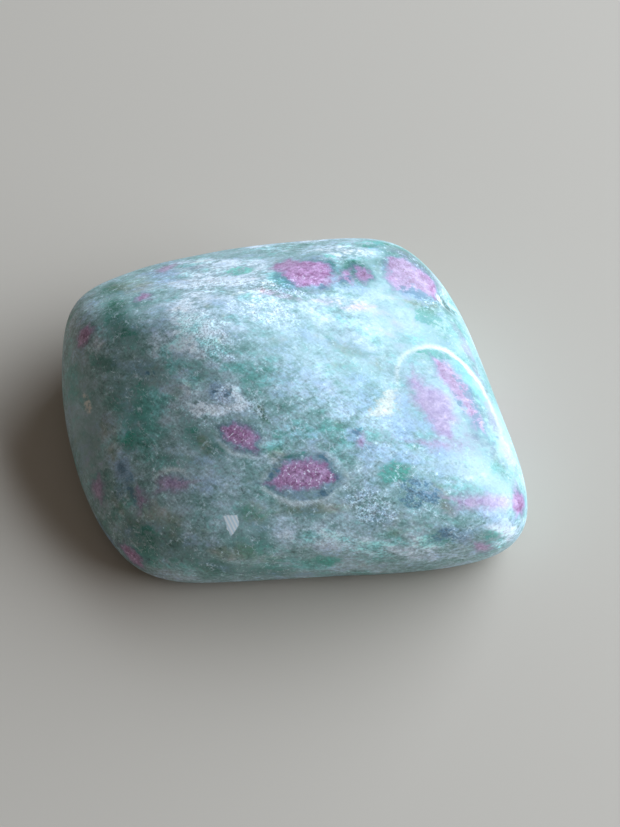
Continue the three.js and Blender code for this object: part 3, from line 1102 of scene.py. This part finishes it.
    def with_chip(self, colour):
        """The white chip, striped by its cleavage; its whitest stripes are its own white and also
        a painted glint.
        """
        across = self.vector("DOT_PRODUCT", self.place, CLEAVAGE, output="Value")
        stripes = self.math("SINE", across * STRIPES_PACE) * 0.5 + 0.5
        stripes = self.mix(stripes, DARK_STRIPE, WHITE_STRIPE_AND_GLINT)
        chip = self.smooth(self.field("chip_gap") + self.ragged * 0.3, 0.06, -0.06)
        return self.mix(chip, colour, stripes)

    def polish(self, colour):
        """Ends the material: a soft polish, duller on the mica than on the rubies."""
        height = self.grain * 0.6 + self.fibre * 0.4 + self.cracks * self.inside_ruby * 0.3
        bump = self.node(
            "ShaderNodeBump",
            {},
            {"Strength": 0.5, "Distance": 0.02 * MM, "Height": height * (0.5 + self.grit)},
        )
        surface = self.node(
            "ShaderNodeBsdfPrincipled",
            {},
            {
                "Base Color": colour,
                "Roughness": 0.5 + self.mottle * 0.1 - self.inside_ruby * 0.1,
                "Normal": bump,
                "Specular IOR Level": 0.5,
                "IOR": 1.58,
                "Coat Weight": 0.1,
                "Coat Roughness": 0.3,
                "Coat IOR": 1.5,
            },
        )
        self.show(surface)


def rock_finish():
    """The rock's material, layer by layer."""
    rock = Rock()
    colour = rock.mica()
    colour = rock.with_halos(colour)
    colour = rock.with_tints(colour)
    colour = rock.with_rings(colour)
    colour = rock.with_grains(colour)
    colour = rock.with_rubies(colour)
    colour = rock.with_slate(colour)
    colour = rock.with_wedge(colour)
    colour = rock.with_felt(colour)
    colour = rock.with_chip(colour)
    rock.polish(colour)
    return rock.material


# ------------------------------------------------------------------ floor, lights, camera

# The floor is a wide square a hair below the sole.
FLOOR_HALF = 1500
FLOOR_DROP = 0.02
FLOOR_PAINT = paint(189, 174, 161)
FLOOR_ROUGHNESS = 0.8

SKY_COLOUR = (1.0, 0.96, 0.88, 1.0)
SKY_STRENGTH = 0.14

CLIP_START = 10


def make_floor():
    """The floor's square, its corners at (+-h, +-h, -d), in one pale finish."""
    half = FLOOR_HALF * MM
    level = -FLOOR_DROP * MM
    around = ((-half, -half), (half, -half), (half, half), (-half, half))
    corners = [(x, y, level) for x, y in around]
    mesh = bpy.data.meshes.new("floor")
    mesh.from_pydata(corners, [], [(0, 1, 2, 3)])
    floor = bpy.data.objects.new("floor", mesh)
    bpy.context.collection.objects.link(floor)
    finish = Finish("floor_paint")
    sockets = {"Base Color": FLOOR_PAINT, "Roughness": FLOOR_ROUGHNESS}
    finish.show(finish.node("ShaderNodeBsdfPrincipled", {}, sockets))
    mesh.materials.append(finish.material)


def make_lamp(name, bearing, rise, distance, wide, high, watts, colour):
    """A soft light, wide by high, that faces the stone from a bearing and a rise."""
    lamp = bpy.data.lights.new(name, "AREA")
    lamp.shape = "RECTANGLE"
    lamp.size = wide * MM
    lamp.size_y = high * MM
    lamp.energy = watts
    lamp.color = colour
    holder = bpy.data.objects.new(name, lamp)
    way = Vector(heading(bearing, rise))
    holder.location = way * distance * MM
    holder.rotation_euler = way.to_track_quat("Z", "Y").to_euler()
    bpy.context.collection.objects.link(holder)


def make_sky():
    """An even, warm, faint light from all round."""
    world = bpy.data.worlds.new("studio")
    world.use_nodes = True
    background = world.node_tree.nodes["Background"]
    background.inputs["Color"].default_value = SKY_COLOUR
    background.inputs["Strength"].default_value = SKY_STRENGTH
    bpy.context.scene.world = world


def make_camera():
    """The camera at its place, its focal length worked out from the focus in pixels."""
    camera = bpy.data.cameras.new("camera")
    camera.sensor_fit = "AUTO"
    camera.sensor_width = SENSOR
    camera.lens = FOCUS_PIXELS / max(VIEW_WIDTH, VIEW_HEIGHT) * SENSOR
    camera.clip_start = CLIP_START * MM
    holder = bpy.data.objects.new("camera", camera)
    turned = Matrix([CAMERA_RIGHT, CAMERA_UP, -CAMERA_LOOK]).transposed().to_4x4()
    holder.matrix_world = Matrix.Translation(CAMERA_PLACE * MM) @ turned
    bpy.context.collection.objects.link(holder)
    bpy.context.scene.camera = holder


stone = make_stone()
stone.data.materials.append(rock_finish())
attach(stone, "root")
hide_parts("cabochon")

make_floor()
make_sky()
make_lamp(
    "window",
    bearing=10,
    rise=28,
    distance=600,
    wide=1200,
    high=450,
    watts=14,
    colour=(0.7, 0.86, 1.0),
)
make_camera()
bpy.context.scene.view_settings.view_transform = "Standard"
